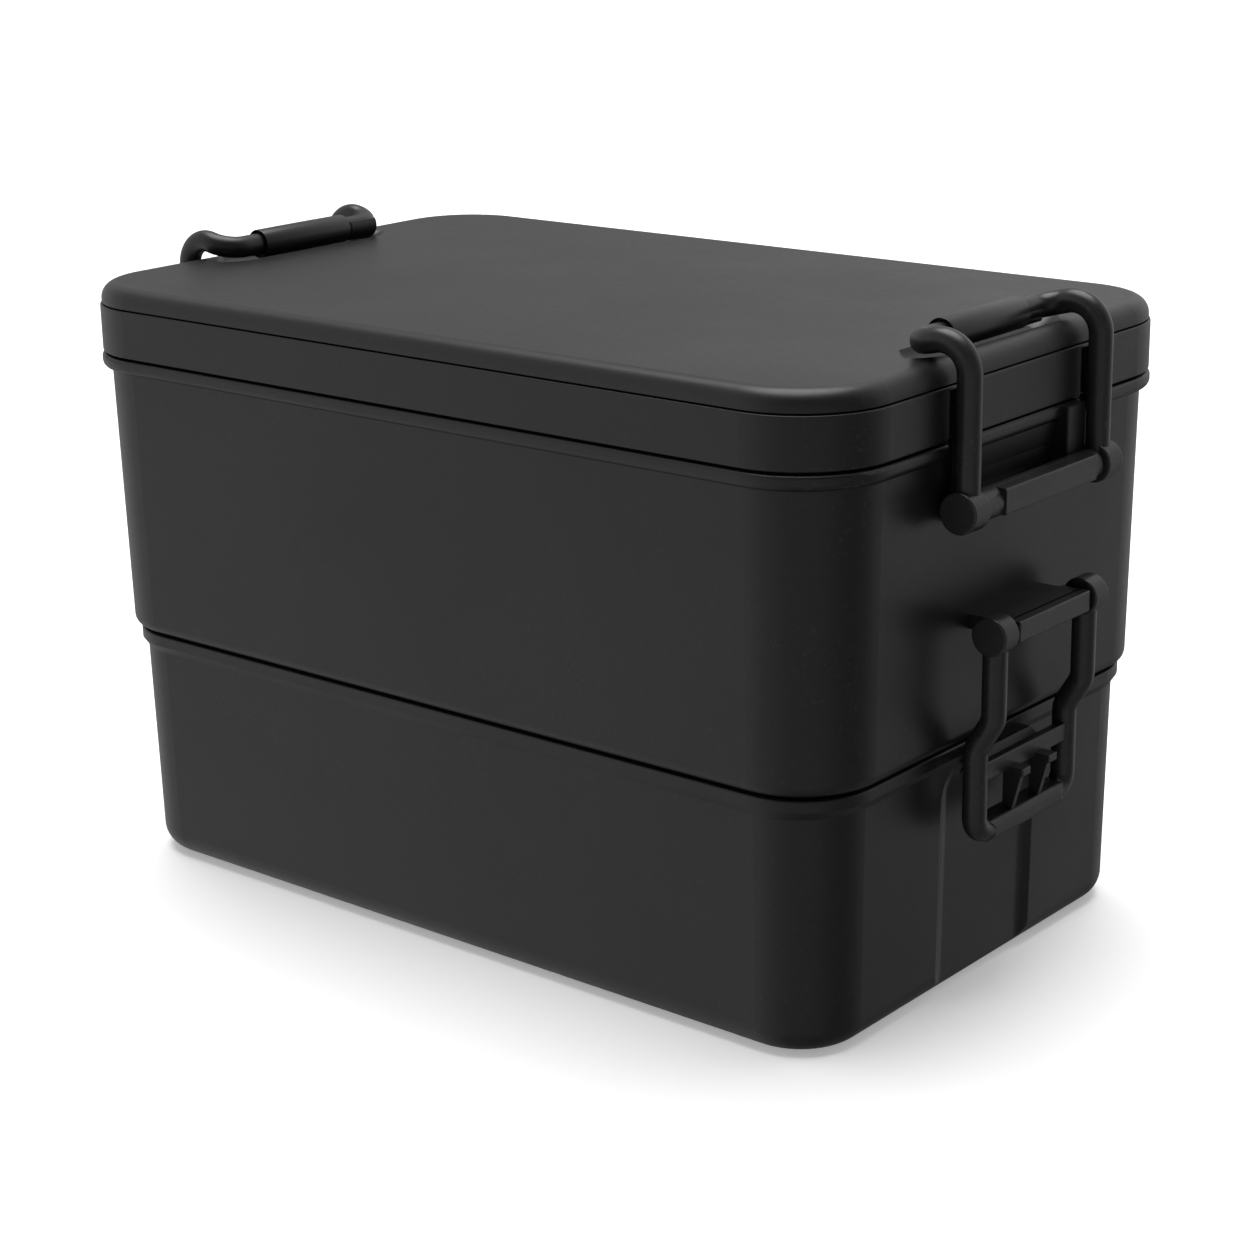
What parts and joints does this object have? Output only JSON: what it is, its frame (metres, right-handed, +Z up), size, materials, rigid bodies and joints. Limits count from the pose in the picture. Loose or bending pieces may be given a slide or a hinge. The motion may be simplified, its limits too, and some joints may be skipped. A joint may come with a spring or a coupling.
{
  "type": "two-tier bento lunch box",
  "caption": "Rectangular lunch box of two stacked tubs with a lift-off lid, swinging bail latches at both ends that hold lid and tubs together, and a loose divider.",
  "frame": {"origin": "middle of the footprint on the surface the box stands on", "axes": "+Z up, +X along the length towards one latch end, -Y towards the front"},
  "size_m": [0.2206, 0.126, 0.136],
  "materials": {
    "tub_plastic": "satin moulded, near-black",
    "frame_plastic": "satin moulded, near-black",
    "cover_plastic": "fine satin grain, near-black",
    "latch_plastic": "satin moulded, near-black",
    "grip_plastic": "satin moulded, near-black",
    "hinge_plastic": "satin moulded, near-black",
    "divider_plastic": "satin moulded, near-black",
    "silicone": "soft matt silicone"
  },
  "bodies": {
    "lower_tier": {"lower_tier": "tub_plastic"},
    "upper_tier": {"upper_tier": "tub_plastic", "tier_seal": "silicone", "top_hinge_barrel_left": "hinge_plastic", "top_hinge_barrel_right": "hinge_plastic", "lower_hinge_plate_left": "hinge_plastic", "lower_hinge_plate_right": "hinge_plastic"},
    "lid": {"lid_frame": "frame_plastic", "lid_cover": "cover_plastic", "lid_seal": "silicone"},
    "divider": {"divider": "divider_plastic"},
    "top_bail_left": {"top_bail_left": "latch_plastic"},
    "grip_left": {"grip_sleeve_left": "grip_plastic"},
    "lower_bail_left": {"lower_bail_left": "latch_plastic"},
    "top_bail_right": {"top_bail_right": "latch_plastic"},
    "grip_right": {"grip_sleeve_right": "grip_plastic"},
    "lower_bail_right": {"lower_bail_right": "latch_plastic"}
  },
  "joints": [
    {"name": "tier_lift", "type": "slide", "parent": "lower_tier", "child": "upper_tier", "axis": [0, 0, 1], "range_m": [0, 0.0085]},
    {"name": "lid_lift", "type": "slide", "parent": "upper_tier", "child": "lid", "axis": [0, 0, 1], "range_m": [0, 0.0105]},
    {"name": "divider_lift", "type": "slide", "parent": "upper_tier", "child": "divider", "axis": [0, 0, 1], "range_m": [0, 0.012]},
    {"name": "top_bail_left_swing", "type": "hinge", "parent": "upper_tier", "child": "top_bail_left", "pos_m": [-0.10405, 0, 0.1026], "axis": [0, -1, 0], "range_deg": [0, 160]},
    {"name": "grip_left_turn", "type": "hinge", "parent": "top_bail_left", "child": "grip_left", "pos_m": [-0.0915, 0, 0.1322], "axis": [0, 1, 0], "continuous": true},
    {"name": "lower_bail_left_swing", "type": "hinge", "parent": "upper_tier", "child": "lower_bail_left", "pos_m": [-0.1065, 0, 0.0776], "axis": [0, 1, 0], "range_deg": [0, 70]},
    {"name": "top_bail_right_swing", "type": "hinge", "parent": "upper_tier", "child": "top_bail_right", "pos_m": [0.10405, 0, 0.1026], "axis": [0, 1, 0], "range_deg": [0, 160]},
    {"name": "grip_right_turn", "type": "hinge", "parent": "top_bail_right", "child": "grip_right", "pos_m": [0.0915, 0, 0.1322], "axis": [0, 1, 0], "continuous": true},
    {"name": "lower_bail_right_swing", "type": "hinge", "parent": "upper_tier", "child": "lower_bail_right", "pos_m": [0.1065, 0, 0.0776], "axis": [0, -1, 0], "range_deg": [0, 70]}
  ],
  "couplings": [
    {"joint": "top_bail_left_swing", "follows": "lid_lift", "rad_per_m": 265.9},
    {"joint": "lower_bail_left_swing", "follows": "tier_lift", "rad_per_m": 143.7},
    {"joint": "top_bail_right_swing", "follows": "lid_lift", "rad_per_m": 265.9},
    {"joint": "lower_bail_right_swing", "follows": "tier_lift", "rad_per_m": 143.7}
  ]
}
